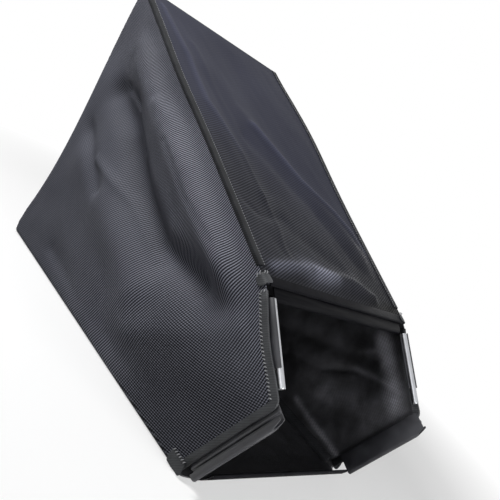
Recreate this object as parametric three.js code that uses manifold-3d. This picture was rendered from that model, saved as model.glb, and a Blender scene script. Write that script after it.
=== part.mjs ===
// Soft collection bag for a lawn mower, standing on its floor panel with the mouth at the front.
// Five sewn fabric panels, bound edges, moulded channels that hook on the mower's wire frame,
// and two steel rods held in clips on the sloped sides of the mouth.
// Millimetres, +X to the right, +Y from the mouth to the rear, +Z up.
// The panels are worked out from the front end of the floor seam, and the finished
// bag is then moved so that the frame's origin is under the middle of its box.

import * as THREE from 'three';
import { mergeVertices } from 'three/addons/utils/BufferGeometryUtils.js';
import Module from 'manifold-3d';

const wasm = await Module();
wasm.setup();

// Driving dimensions of the bag.
const mouthWidth = 360;        // across the outer faces of the side panels at the mouth
const rearWidth = 350;         // the same at the rear
const floorLength = 575;       // floor seam, front to rear
const rearHeight = 460;        // height of the rear panel
const rearLean = 17;           // how far the top of the rear panel leans back
const rearBow = 23;            // how far the slack rear panel falls in
const heelRise = 40;           // the rear panel's foot curves in below this height
const heelDepth = 14;          // and by this much at the floor
const mouthHeight = 255.5;     // height of the mouth's top edge
const mouthSetback = 52;       // the top edge lies this far behind the floor seam's end
const noseHeight = 164;        // height of the bend in the side edge of the mouth
const noseReach = 61;          // how far that bend stands forward
const noseRadius = 14;         // radius of the bend
const slopeBow = 4.5;          // how far the slack edge above the bend falls in

// Driving dimensions of the cloth and tapes.
const fabric = 1.2;            // thickness of the woven panels
const touch = 0.3;             // gap left between pieces that are sewn face to face
const tapeLeaf = 0.8;          // thickness of the binding tape
const tapeWidth = 11;          // width of the binding on each face
const seamLeaf = 1;            // thickness of the seam tapes and bands
const seamTapeWidth = 12;      // leg of the seam tapes inside the bag
const bandWidth = 12;          // leg of the seam band on the top panel
const bandDrop = 5;            // leg of the seam band down the side
const hemLeg = 14;             // depth of the rolled hem on the top panel
const lipHemLeg = 12;          // and on the floor panel's lip
const hemInset = 8;            // the hems stop this far inside the side panels
const flapRadius = 28;         // curve of the floor panel's front lip
const flapTurn = 60;           // degrees that the lip turns up
const flapInset = 24;          // the lip is narrower than the floor on each side
const patchLength = 30;        // corner patches low on the mouth
const patchHeight = 20;
const patchReach = 6;          // the patches stand this far forward of the floor seam's end
const tabLength = 16;          // corner tabs at the mouth's top corners
const tabWidth = 14;

// Driving dimensions of the moulded channels, clips and rods.
const rodDiameter = 9.5;
const rodLength = 108;
const rodStart = 20;           // the rod's lower end, measured up the slope from the bend
const rodSetback = 1;          // the rod's axis lies this far behind the binding's fold
const rodChamfer = 0.7;
const clipFree = 24;           // length of rod left bare at its lower end
const clipWall = 1.5;
const clipOpening = 150;       // degrees that the clip is open
const clipFacing = -45;        // direction that the opening faces, from straight forward
const channelWall = 1.8;       // plate of the lower channels
const channelPlate = 16;       // plate from the binding to the start of the hook
const channelPocket = 6.6;     // room in the hook for a quarter inch wire
const channelHookWall = 1.6;
const channelLip = 4;          // straight lip of the hook
const channelBead = 2.3;       // radius of the round bead between the binding and the hook
const channelBeadPlace = 4.6;  // middle of the bead, from the binding
const channelRise = 8;         // the upper end stands this far above the end of the bend
const channelEnd = 24;         // lower end, measured up the edge from the floor
const chamferLength = 20;      // cut corner at the upper end of each lower channel
const chamferDepth = 7;
const topChannelClear = 5.6;   // room between the top channel's ends and the corner tabs
const topChannelPlate = 11;
const topChannelTilt = 17;     // degrees that its plate bends down from the top panel

// Mesh counts.
const sideRowCount = 18;       // from the top of a side panel to the floor
const lengthCount = 26;        // from the mouth to the rear
const acrossCount = 18;        // from side to side
const floorAcrossCount = 8;
const floorLengthCount = 8;
const lipCount = 6;
const bendCount = 5;
const slopeCount = 6;          // steps along the sloped edge

// Folds of each panel: a ridge along a path, with its height and half width. A hollow has a
// negative height. A place on the path is two shares: on the side panels of the floor's length and
// the rear panel's height, on the top panel of the mouth's width and the floor's length, and on
// the rear panel of its width and height.
const leftFolds = [
  { path: [[0.174, 0.491], [0.504, 0.663], [0.817, 0.8]], height: 12, width: 28 },
  { path: [[0.191, 0.387], [0.409, 0.359], [0.583, 0.446], [0.791, 0.62]], height: -13, width: 30 },
  { path: [[0.417, 0.243], [0.835, 0.413]], height: 8, width: 34 },
  { path: [[0.748, 0.372], [0.939, 0.511]], height: -7, width: 26 },
  { path: [[0.104, 0.261], [0.4, 0.152]], height: 7, width: 40 },
  { path: [[0.157, 0.03], [0.783, 0.065]], height: -8, width: 16 },
];
const rightFolds = [
  { path: [[0.122, 0.326], [0.574, 0.565]], height: 10, width: 36 },
  { path: [[0.261, 0.196], [0.73, 0.37]], height: -11, width: 34 },
  { path: [[0.574, 0.717], [0.87, 0.87]], height: 8, width: 30 },
  { path: [[0.522, 0.152], [0.904, 0.261]], height: 7, width: 34 },
];
const topFolds = [
  { path: [[-0.083, 0.661], [0.167, 0.47], [0.417, 0.261]], height: 7, width: 15 },
  { path: [[-0.361, 0.817], [-0.306, 0.348]], height: 4, width: 12 },
  { path: [[-0.25, 0.73], [-0.167, 0.4]], height: -4, width: 20 },
  { path: [[-0.417, 0.341], [-0.167, 0.296]], height: -5, width: 12 },
  { path: [[-0.333, 0.15], [0.167, 0.16]], height: 7, width: 14 },
  { path: [[0, 0.87], [0.167, 0.522]], height: -6, width: 60 },
];
const rearFolds = [
  { path: [[-0.171, 0.717], [0.114, 0.261]], height: -9, width: 60 },
  { path: [[0.171, 0.826], [0.314, 0.435]], height: 6, width: 30 },
];

const degrees = Math.PI / 180;
const mix = THREE.MathUtils.lerp;
const step = (from, to, value) => THREE.MathUtils.smoothstep(value, from, to);

// Materials.
const weave = { color: 0x26272b, roughness: 0.62, metalness: 0 };
const coated = { color: 0x1b1b1e, roughness: 0.45, metalness: 0 };
const tape = { color: 0x3a3c40, roughness: 0.7, metalness: 0 };
const plastic = { color: 0x2b2d30, roughness: 0.5, metalness: 0 };
const zinc = { color: 0xc9ccd0, roughness: 0.25, metalness: 1 };

const bag = new THREE.Group();

function add(name, geometry, finish) {
  const mesh = new THREE.Mesh(geometry, new THREE.MeshStandardMaterial(finish));
  mesh.name = name;
  bag.add(mesh);
  return mesh;
}

// Makes one closed mesh from shared points, with its faces turned outwards.
function closedGeometry(points, faces) {
  let volume = 0;
  for (const [a, b, c] of faces) {
    volume += points[a].dot(new THREE.Vector3().crossVectors(points[b], points[c]));
  }
  const turned = volume < 0 ? faces.map(([a, b, c]) => [a, c, b]) : faces;
  const geometry = new THREE.BufferGeometry();
  const position = points.flatMap((point) => point.toArray());
  geometry.setAttribute('position', new THREE.Float32BufferAttribute(position, 3));
  geometry.setIndex(turned.flat());
  geometry.computeVertexNormals();
  return geometry;
}

// Corner points of a shape, without the doubles that arcs leave where they meet lines.
function outlineOf(shape, arcSteps) {
  const points = shape.getPoints(arcSteps);
  return points.filter((point, i) => {
    const before = points[(i + points.length - 1) % points.length];
    return point.distanceTo(before) > 1e-4;
  });
}

// Carries a flat outline through a row of frames and closes both ends.
function sweep(section, frames) {
  const outline = THREE.ShapeUtils.isClockWise(section) ? section.slice().reverse() : section;
  const count = outline.length;
  const points = [];
  for (const { origin, across, up } of frames) {
    for (const corner of outline) {
      const offset = across.clone().multiplyScalar(corner.x).addScaledVector(up, corner.y);
      points.push(origin.clone().add(offset));
    }
  }
  const faces = [];
  for (let i = 0; i < frames.length - 1; i += 1) {
    for (let j = 0; j < count; j += 1) {
      const k = (j + 1) % count;
      const here = i * count;
      const next = here + count;
      faces.push([here + j, here + k, next + k], [here + j, next + k, next + j]);
    }
  }
  const last = (frames.length - 1) * count;
  for (const [a, b, c] of THREE.ShapeUtils.triangulateShape(outline, [])) {
    faces.push([c, b, a], [last + a, last + b, last + c]);
  }
  return closedGeometry(points, faces);
}

// Makes a sheet of cloth with a thickness from a grid of points on each face.
function sheet(rowCount, columnCount, face, back) {
  const points = [];
  for (const side of [face, back]) {
    for (let i = 0; i <= rowCount; i += 1) {
      for (let j = 0; j <= columnCount; j += 1) points.push(side(i, j));
    }
  }
  const index = (i, j) => i * (columnCount + 1) + j;
  const layer = (rowCount + 1) * (columnCount + 1);
  const faces = [];
  for (let i = 0; i < rowCount; i += 1) {
    for (let j = 0; j < columnCount; j += 1) {
      const [a, b, c, d] = [index(i, j), index(i, j + 1), index(i + 1, j + 1), index(i + 1, j)];
      faces.push([a, b, c], [a, c, d], [layer + a, layer + c, layer + b], [layer + a, layer + d, layer + c]);
    }
  }
  const rim = [];
  for (let j = 0; j < columnCount; j += 1) rim.push(index(0, j));
  for (let i = 0; i < rowCount; i += 1) rim.push(index(i, columnCount));
  for (let j = columnCount; j > 0; j -= 1) rim.push(index(rowCount, j));
  for (let i = rowCount; i > 0; i -= 1) rim.push(index(i, 0));
  rim.forEach((a, n) => {
    const b = rim[(n + 1) % rim.length];
    faces.push([b, a, layer + a], [b, layer + a, layer + b]);
  });
  return closedGeometry(points, faces);
}

// Shortest distance from a place to a row of points.
function distanceToPath(path, place) {
  const distances = path.slice(1).map((to, i) => {
    const run = to.clone().sub(path[i]);
    const share = THREE.MathUtils.clamp(place.clone().sub(path[i]).dot(run) / run.lengthSq(), 0, 1);
    return place.distanceTo(path[i].clone().addScaledVector(run, share));
  });
  return Math.min(...distances);
}

// Height of one fold at a place on a panel with the two given measures.
function foldHeight({ path, height, width }, measures, a, b) {
  const points = path.map(([x, y]) => new THREE.Vector2(x, y).multiply(measures));
  const distance = distanceToPath(points, new THREE.Vector2(a, b));
  return height * Math.exp(-((distance / width) ** 2));
}

const foldSum = (folds, measures, a, b) => folds.reduce(
  (sum, fold) => sum + foldHeight(fold, measures, a, b), 0,
);
const sideMeasures = new THREE.Vector2(floorLength, rearHeight);
const topMeasures = new THREE.Vector2(mouthWidth, floorLength);
const rearMeasures = new THREE.Vector2(rearWidth, rearHeight);
const distanceToOutline = (outline, place) => distanceToPath([...outline, outline[0]], place);

// A panel lies flat beside its seams, where the tapes are sewn, and its slack grows away from them.
// The first and last strips of each grid are these flat borders.
const seamFlat = seamTapeWidth + 3;
const mouthFlat = 26;
const slackRun = 34;
const slack = (distance) => step(seamFlat, seamFlat + slackRun, distance);

function gridShare(i, count, firstShare, lastShare) {
  if (i === 0) return 0;
  if (i === count) return 1;
  return mix(firstShare, 1 - lastShare, (i - 1) / (count - 2));
}
const onBorder = (i, count) => i <= 1 || i >= count - 1;

// Side profile of the bag.
const mouthTop = new THREE.Vector2(mouthSetback, mouthHeight);
const rearTop = new THREE.Vector2(floorLength + rearLean, rearHeight);
const nose = new THREE.Vector2(-noseReach, noseHeight);
const floorFront = new THREE.Vector2(0, 0);
const topRun = rearTop.clone().sub(mouthTop).normalize();
const topNormal = new THREE.Vector2(-topRun.y, topRun.x);

const halfWidth = (y) => mix(mouthWidth / 2, rearWidth / 2, y / floorLength);

// The rear panel falls in most at a third of its height, and its foot curves in to the floor.
// The bow is a cubic that peaks at four twenty-sevenths.
const bowPeak = 4 / 27;
const rearFace = (z) => {
  const share = z / rearHeight;
  const bow = (rearBow * share * (1 - share) ** 2) / bowPeak;
  const heel = heelDepth * Math.max(0, 1 - z / heelRise) ** 2;
  return floorLength + rearLean * share - bow - heel;
};

// The top seams wander a little from a straight line, outward and upward. Each wave is given
// by its middle and its reach, as shares of the floor's length, and the seam's ends stay in place.
const seamWaves = {
  [-1]: [{ middle: 0.7, reach: 0.15, out: 2, up: -2 }],
  [1]: [{ middle: 0.75, reach: 0.18, out: 7, up: 3 }],
};
const seamStill = 30;
const seamEase = 80;

function seamWave(side, way, y) {
  const ends = step(seamStill, seamStill + seamEase, y - mouthTop.x)
    * step(0, seamEase, rearTop.x - y);
  const share = y / floorLength;
  const waves = seamWaves[side].map(
    (wave) => wave[way] * Math.exp(-(((share - wave.middle) / wave.reach) ** 2)),
  );
  return ends * waves.reduce((sum, height) => sum + height, 0);
}
const waveWhole = 0.08;  // the panels follow the wave this far from the seam
const waveGone = 0.55;   // and have lost it here, as shares of their width
const besideSeam = (share) => 1 - step(waveWhole, waveGone, share);

// Side edge of the mouth: down the slope, round the bend and back to the floor.
// inset moves the edge into the panel.
function mouthEdge(inset, floorGap, topGap) {
  const slope = mouthTop.clone().sub(nose).normalize();
  const lower = floorFront.clone().sub(nose).normalize();
  const slopeIn = new THREE.Vector2(slope.y, -slope.x);
  const lowerIn = new THREE.Vector2(-lower.y, lower.x);
  const turn = Math.acos(-slope.dot(lower));
  const back = noseRadius * Math.tan(turn / 2);
  const centre = nose.clone().addScaledVector(slope, back).addScaledVector(slopeIn, noseRadius);
  const radius = noseRadius - inset;
  const bend = [];
  const first = Math.atan2(-slopeIn.y, -slopeIn.x);
  for (let i = 0; i <= bendCount; i += 1) {
    const angle = first + (turn * i) / bendCount;
    bend.push(new THREE.Vector2(Math.cos(angle), Math.sin(angle)).multiplyScalar(radius).add(centre));
  }
  const topEnd = bend[0].clone();
  const rise = topNormal.dot(mouthTop.clone().sub(topEnd)) - topGap;
  topEnd.addScaledVector(slope, rise / topNormal.dot(slope));
  const floorEnd = bend[bendCount].clone();
  floorEnd.addScaledVector(lower, (floorEnd.y - floorGap) / -lower.y);
  const sag = Array.from({ length: slopeCount - 1 }, (_, i) => {
    const share = (i + 1) / slopeCount;
    const depth = slopeBow * Math.sin(Math.PI * share) ** 2;
    return topEnd.clone().lerp(bend[0], share).addScaledVector(slopeIn, depth);
  });
  return { topEnd, sag, bend, floorEnd, slope, lower, slopeIn, lowerIn, first, turn };
}

// Place on the side edge by a share of its length, from the top end to the floor.
const edgeRoute = (edge) => [edge.topEnd, ...edge.sag, ...edge.bend, edge.floorEnd];
const edgeLength = (edge) => edgeRoute(edge).reduce(
  (sum, point, i, route) => sum + (i > 0 ? point.distanceTo(route[i - 1]) : 0), 0,
);

function alongEdge(edge, share) {
  const route = edgeRoute(edge);
  const lengths = route.slice(1).map((point, i) => point.distanceTo(route[i]));
  let left = share * edgeLength(edge);
  for (let i = 0; i < lengths.length; i += 1) {
    if (left <= lengths[i] || i === lengths.length - 1) {
      return route[i].clone().lerp(route[i + 1], Math.min(left / lengths[i], 1));
    }
    left -= lengths[i];
  }
  return edge.floorEnd.clone();
}

// Side panels. Their upper edge lies under the top panel, their lower edge on the floor panel,
// and their rear edge against the rear panel.
const underSeam = fabric + touch;
const panelEdge = mouthEdge(tapeLeaf + touch, underSeam, underSeam);
const rearTopUnder = rearTop.y - underSeam * (topRun.y / topRun.x) - underSeam / topRun.x;

const rearFlat = seamFlat / (rearTopUnder - underSeam);
const rearHeightAt = (i) => mix(rearTopUnder, underSeam, gridShare(i, sideRowCount, rearFlat, rearFlat));
const rearEdge = Array.from({ length: sideRowCount + 1 }, (_, i) => {
  const z = rearHeightAt(sideRowCount - i);
  return new THREE.Vector2(rearFace(z) - underSeam, z);
});
const sideOutline = [...edgeRoute(panelEdge), ...rearEdge];

function sidePoint(side, folds, i, j) {
  const edgeFlat = seamFlat / edgeLength(panelEdge);
  const s = gridShare(i, sideRowCount, edgeFlat, edgeFlat);
  const front = alongEdge(panelEdge, s);
  const rearZ = rearHeightAt(i);
  const rearY = rearFace(rearZ) - underSeam;
  const rowLength = Math.hypot(rearY - front.x, rearZ - front.y);
  const t = gridShare(j, lengthCount, mouthFlat / rowLength, seamFlat / rowLength);
  const y = mix(front.x, rearY, t);
  const z = mix(front.y, rearZ, t) + seamWave(side, 'up', y) * besideSeam(s);
  const border = onBorder(i, sideRowCount) || onBorder(j, lengthCount);
  const loose = border ? 0 : slack(distanceToOutline(sideOutline, new THREE.Vector2(y, z)));
  const out = seamWave(side, 'out', y) * besideSeam(s) + foldSum(folds, sideMeasures, y, z) * loose;
  return new THREE.Vector3(side * (halfWidth(y) + out), y, z);
}

function sidePanel(name, side, folds) {
  const inward = new THREE.Vector3(-side * fabric, 0, 0);
  const face = (i, j) => sidePoint(side, folds, i, j);
  add(name, sheet(sideRowCount, lengthCount, face, (i, j) => face(i, j).add(inward)), weave);
}

sidePanel('left_panel', -1, leftFolds);
sidePanel('right_panel', 1, rightFolds);

// Top panel, from the hem at the mouth to the rear panel, lying over the side panels.
const topLong = rearTop.x - mouthTop.x;
const topRearShare = (topLong - underSeam - fabric * topRun.y) / topLong;
const topShare = (j) => topRearShare * gridShare(j, lengthCount, mouthFlat / topLong, seamFlat / topLong);

function seamPoint(side, t) {
  const y = mix(mouthTop.x, rearTop.x, t);
  const z = mix(mouthTop.y, rearTop.y, t) + seamWave(side, 'up', y);
  return new THREE.Vector3(side * (halfWidth(y) + seamWave(side, 'out', y)), y, z);
}

function topPoint(i, j) {
  const u = gridShare(i, acrossCount, seamFlat / rearWidth, seamFlat / rearWidth);
  const t = topShare(j);
  const left = seamPoint(-1, t);
  const right = seamPoint(1, t);
  const x = mix(left.x, right.x, u);
  const flat = mix(mouthTop.y, rearTop.y, t);
  const lift = seamWave(-1, 'up', left.y) * besideSeam(u) + seamWave(1, 'up', left.y) * besideSeam(1 - u);
  const border = onBorder(i, acrossCount) || onBorder(j, lengthCount);
  const near = Math.min(Math.min(u, 1 - u) * mouthWidth, Math.min(t, 1 - t) * topLong);
  const loose = border ? 0 : slack(near);
  return new THREE.Vector3(x, left.y, flat + lift + foldSum(topFolds, topMeasures, x, left.y) * loose);
}

const underTop = new THREE.Vector3(0, -topNormal.x * fabric, -topNormal.y * fabric);
add('top_panel', sheet(acrossCount, lengthCount, topPoint, (i, j) => topPoint(i, j).add(underTop)), weave);

// Rear panel, closing the ends of the other four.
const rearRowHeights = Array.from({ length: sideRowCount + 1 }, (_, i) => rearHeightAt(i));
rearRowHeights[0] = rearTop.y;
rearRowHeights[sideRowCount] = 0;

function rearPoint(i, j) {
  const u = gridShare(j, acrossCount, seamFlat / rearWidth, seamFlat / rearWidth);
  const z = rearRowHeights[i];
  const half = halfWidth(rearFace(z));
  const x = mix(-half, half, u);
  const border = onBorder(i, sideRowCount) || onBorder(j, acrossCount);
  const loose = border ? 0 : slack(Math.min(z, rearHeight - z, Math.min(u, 1 - u) * rearWidth));
  return new THREE.Vector3(x, rearFace(z) + foldSum(rearFolds, rearMeasures, x, z) * loose, z);
}

const intoBag = new THREE.Vector3(0, -fabric, 0);
add('rear_panel', sheet(sideRowCount, acrossCount, rearPoint, (i, j) => rearPoint(i, j).add(intoBag)), weave);

// Floor panel: flat on the ground, with a curved lip at the mouth that ends in a straight hem.
const floorRoute = [];
const floorRear = rearFace(0) - underSeam;
for (let i = 0; i <= floorLengthCount; i += 1) {
  floorRoute.push({ y: mix(floorRear, 0, i / floorLengthCount), z: 0, turn: 0 });
}
for (let i = 1; i <= lipCount; i += 1) {
  const turn = (flapTurn * degrees * i) / lipCount;
  floorRoute.push({ y: -flapRadius * Math.sin(turn), z: flapRadius * (1 - Math.cos(turn)), turn });
}
const lipTurn = flapTurn * degrees;
const lipFoot = floorRoute[floorRoute.length - 1];
const lipDirection = new THREE.Vector2(-Math.cos(lipTurn), Math.sin(lipTurn));
const lipEnd = {
  y: lipFoot.y + hemLeg * lipDirection.x,
  z: lipFoot.z + hemLeg * lipDirection.y,
  turn: lipTurn,
};
floorRoute.push(lipEnd);

function floorPoint(i, j, rise) {
  const place = floorRoute[i];
  const half = halfWidth(place.y) - flapInset * step(0, flapRadius / 2, -place.y);
  const x = mix(-half, half, j / floorAcrossCount);
  return new THREE.Vector3(x, place.y + rise * Math.sin(place.turn), place.z + rise * Math.cos(place.turn));
}
const floorSheet = sheet(
  floorRoute.length - 1, floorAcrossCount,
  (i, j) => floorPoint(i, j, 0), (i, j) => floorPoint(i, j, fabric),
);
add('bottom_panel', floorSheet, coated);

// Folded tape over a raw edge: two legs and a round fold, open towards the panel.
// x runs out of the edge, y through the panel, with the panel's edge at x = 0.
function foldedTape(leg, leaf) {
  const inner = fabric / 2 + touch;
  const outer = inner + leaf;
  const end = touch + leaf;
  const centre = end - outer;
  const shape = new THREE.Shape();
  shape.moveTo(end - leg, -outer);
  shape.lineTo(centre, -outer);
  shape.absarc(centre, 0, outer, -Math.PI / 2, Math.PI / 2, false);
  shape.lineTo(end - leg, outer);
  shape.lineTo(end - leg, inner);
  shape.lineTo(centre, inner);
  shape.lineTo(touch, inner);
  shape.lineTo(touch, -inner);
  shape.lineTo(end - leg, -inner);
  return outlineOf(shape, 4);
}

// Frames along the side edge of the mouth for everything that is sewn on it.
const sideways = (side) => new THREE.Vector3(side, 0, 0);
const inPlane = (vector, x) => new THREE.Vector3(x, vector.x, vector.y);

function edgeFrames(side, startGap, endGap) {
  const edge = panelEdge;
  const start = edge.topEnd.clone().addScaledVector(edge.slope, -startGap);
  const end = edge.floorEnd.clone().addScaledVector(edge.lower, -endGap);
  const across = new THREE.Vector2(0, 0);
  const slopePlaces = [start, ...edge.sag, edge.bend[0]];
  const stations = [
    { place: start, out: edge.slopeIn.clone().negate() },
    ...edge.sag.map((place, i) => {
      const along = slopePlaces[i + 2].clone().sub(slopePlaces[i]).normalize();
      return { place, out: along.rotateAround(across, -Math.PI / 2) };
    }),
    ...edge.bend.map((place, i) => {
      const angle = edge.first + (edge.turn * i) / (edge.bend.length - 1);
      return { place, out: new THREE.Vector2(Math.cos(angle), Math.sin(angle)) };
    }),
    { place: end, out: edge.lowerIn.clone().negate() },
  ];
  return stations.map(({ place, out }) => ({
    origin: inPlane(place, side * (halfWidth(place.x) - fabric / 2)),
    across: inPlane(out, 0),
    up: sideways(side),
  }));
}

const bindingStart = 7;
const bindingEnd = 4;
const sides = [['left', -1], ['right', 1]];
for (const [word, side] of sides) {
  const frames = edgeFrames(side, bindingStart, bindingEnd);
  add(`${word}_mouth_binding`, sweep(foldedTape(tapeWidth, tapeLeaf), frames), tape);
}

// Rolled hems across the mouth: one on the top panel and one on the floor panel's lip.
function crossFrames(centre, out, up, half) {
  return [-half, half].map((x) => ({
    origin: inPlane(centre, x), across: inPlane(out, 0), up: inPlane(up, 0),
  }));
}

const topMiddle = mouthTop.clone().addScaledVector(topNormal, -fabric / 2);
const topHemHalf = mouthWidth / 2 - hemInset;
const topHemFrames = crossFrames(topMiddle, topRun.clone().negate(), topNormal, topHemHalf);
add('top_hem', sweep(foldedTape(hemLeg, seamLeaf), topHemFrames), weave);

const lipNormal = new THREE.Vector2(Math.sin(lipTurn), Math.cos(lipTurn));
const lipMiddle = new THREE.Vector2(lipEnd.y, lipEnd.z).addScaledVector(lipNormal, fabric / 2);
const lipHalf = mouthWidth / 2 - flapInset;
const lipFrames = crossFrames(lipMiddle, lipDirection, lipNormal, lipHalf);
add('bottom_hem', sweep(foldedTape(lipHemLeg, seamLeaf), lipFrames), coated);

// Angle-shaped tape: one leg along x, the other along y, from the corner of the seam.
function angleTape(legX, legY, gap) {
  const shape = [
    [gap, gap], [legX, gap], [legX, gap + seamLeaf],
    [gap + seamLeaf, gap + seamLeaf], [gap + seamLeaf, legY], [gap, legY],
  ];
  return shape.map(([x, y]) => new THREE.Vector2(x, y));
}

// Bands over the top seams, outside, from behind the corner tabs to the rear panel.
const bandStart = 1;
for (const [word, side] of sides) {
  const frames = [];
  for (let j = bandStart; j <= lengthCount; j += 1) {
    const corner = seamPoint(side, topShare(j));
    corner.x += side * (touch + seamLeaf);
    corner.add(inPlane(topNormal, 0).multiplyScalar(touch + seamLeaf));
    frames.push({ origin: corner, across: sideways(-side), up: inPlane(topNormal, 0).negate() });
  }
  add(`top_${word}_seam_band`, sweep(angleTape(bandWidth, bandDrop, 0), frames), tape);
}

// Corner tabs at the mouth's top corners, folded over the hem and the binding.
const tabGap = touch + seamLeaf + touch;
for (const [word, side] of sides) {
  const frames = [0, tabLength].map((reach) => {
    const place = mouthTop.clone().addScaledVector(topRun, reach);
    const x = side * (halfWidth(place.x) + tabGap + seamLeaf);
    place.addScaledVector(topNormal, tabGap + seamLeaf);
    return { origin: inPlane(place, x), across: sideways(-side), up: inPlane(topNormal, 0).negate() };
  });
  add(`${word}_top_corner_tab`, sweep(angleTape(tabWidth, tabWidth, 0), frames), tape);
}

// Seam tapes inside the bag, each an angle between two panels.
const cornerClear = seamTapeWidth + 2;
for (const [word, side] of sides) {
  const floorFrames = [cornerClear, floorRear - cornerClear].map((y) => ({
    origin: new THREE.Vector3(side * (halfWidth(y) - fabric), y, fabric),
    across: sideways(-side),
    up: new THREE.Vector3(0, 0, 1),
  }));
  add(`bottom_${word}_seam_tape`, sweep(angleTape(seamTapeWidth, seamTapeWidth, touch), floorFrames), tape);

  const rearFrames = [];
  for (let i = 1; i < sideRowCount; i += 1) {
    const z = rearHeightAt(i);
    const y = rearFace(z) - fabric;
    rearFrames.push({
      origin: new THREE.Vector3(side * (halfWidth(y) - fabric), y, z),
      across: sideways(-side),
      up: new THREE.Vector3(0, -1, 0),
    });
  }
  add(`rear_${word}_seam_tape`, sweep(angleTape(seamTapeWidth, seamTapeWidth, touch), rearFrames), tape);
}

const crossTapeHalf = rearWidth / 2 - fabric - cornerClear;
const rearRun = (fromZ, toZ) => new THREE.Vector2(rearFace(toZ) - rearFace(fromZ), toZ - fromZ).normalize();
const rearFloorFrames = [-crossTapeHalf, crossTapeHalf].map((x) => ({
  origin: new THREE.Vector3(x, floorRear + touch, fabric),
  across: new THREE.Vector3(0, -1, 0),
  up: inPlane(rearRun(0, rearHeightAt(sideRowCount - 1)), 0),
}));
add('rear_bottom_seam_tape', sweep(angleTape(seamTapeWidth, seamTapeWidth, touch), rearFloorFrames), tape);

const rearTopInner = new THREE.Vector2(rearTop.x - fabric, rearTop.y - fabric / topRun.x);
rearTopInner.y -= fabric * (topRun.y / topRun.x);
const rearTopFrames = [-crossTapeHalf, crossTapeHalf].map((x) => ({
  origin: inPlane(rearTopInner, x),
  across: inPlane(topRun, 0).negate(),
  up: inPlane(rearRun(rearTop.y, rearHeightAt(1)), 0),
}));
add('rear_top_seam_tape', sweep(angleTape(seamTapeWidth, seamTapeWidth, touch), rearTopFrames), tape);

// Corner patches low on the mouth, sewn over the end of the binding.
for (const [word, side] of sides) {
  const patch = new THREE.Shape();
  const round = 4;
  patch.moveTo(round, 0);
  patch.lineTo(patchLength - round, 0);
  patch.absarc(patchLength - round, round, round, -Math.PI / 2, 0, false);
  patch.lineTo(patchLength, patchHeight - round);
  patch.absarc(patchLength - round, patchHeight - round, round, 0, Math.PI / 2, false);
  patch.lineTo(round, patchHeight);
  patch.absarc(round, patchHeight - round, round, Math.PI / 2, Math.PI, false);
  patch.lineTo(0, round);
  patch.absarc(round, round, round, Math.PI, Math.PI * 1.5, false);
  const place = new THREE.Vector2(-patchReach, underSeam);
  const x = side * (halfWidth(place.x) + tabGap);
  const frames = [0, seamLeaf].map((depth) => ({
    origin: inPlane(place, x + side * depth),
    across: new THREE.Vector3(0, 1, 0),
    up: new THREE.Vector3(0, 0, 1),
  }));
  add(`${word}_corner_patch`, sweep(outlineOf(patch, 4), frames), tape);
}

// Moulded hook channel. x runs out of the binding, y from the plate's flat face to the hook.
// The strip before x = 0 is sewn under the binding or the hem, and may be bent from the plate.
function hookOutline(strip, plate, bead, bend) {
  const height = channelWall + channelPocket + channelHookWall;
  const outer = height / 2;
  const inner = channelPocket / 2;
  const hinge = new THREE.Vector2(0, 0);
  const stripFlat = new THREE.Vector2(-strip, 0).rotateAround(hinge, -bend);
  const stripOver = new THREE.Vector2(-strip, channelWall).rotateAround(hinge, -bend);
  const shape = new THREE.Shape();
  shape.moveTo(stripFlat.x, stripFlat.y);
  shape.lineTo(0, 0);
  shape.lineTo(plate, 0);
  shape.absarc(plate, outer, outer, -Math.PI / 2, Math.PI / 2, false);
  shape.lineTo(plate - channelLip, height);
  shape.lineTo(plate - channelLip, height - channelHookWall);
  shape.lineTo(plate, height - channelHookWall);
  shape.absarc(plate, channelWall + inner, inner, Math.PI / 2, -Math.PI / 2, true);
  if (bead > 0) {
    shape.absarc(channelBeadPlace, channelWall, bead, 0, Math.PI, false);
  }
  const kink = new THREE.Vector2(channelWall * Math.tan(bend / 2), channelWall);
  shape.lineTo(kink.x, kink.y);
  shape.lineTo(stripOver.x, stripOver.y);
  return outlineOf(shape, 6);
}

const toManifold = (geometry) => {
  const merged = geometry.clone();
  merged.deleteAttribute('normal');
  const clean = mergeVertices(merged, 1e-4);
  return new wasm.Manifold(new wasm.Mesh({
    numProp: 3,
    vertProperties: new Float32Array(clean.attributes.position.array),
    triVerts: new Uint32Array(clean.index.array),
  }));
};

function fromManifold(solid) {
  const { vertProperties, triVerts } = solid.getMesh();
  const geometry = new THREE.BufferGeometry();
  geometry.setAttribute('position', new THREE.BufferAttribute(vertProperties, 3));
  geometry.setIndex(new THREE.BufferAttribute(triVerts, 1));
  geometry.computeVertexNormals();
  return geometry;
}

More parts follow.
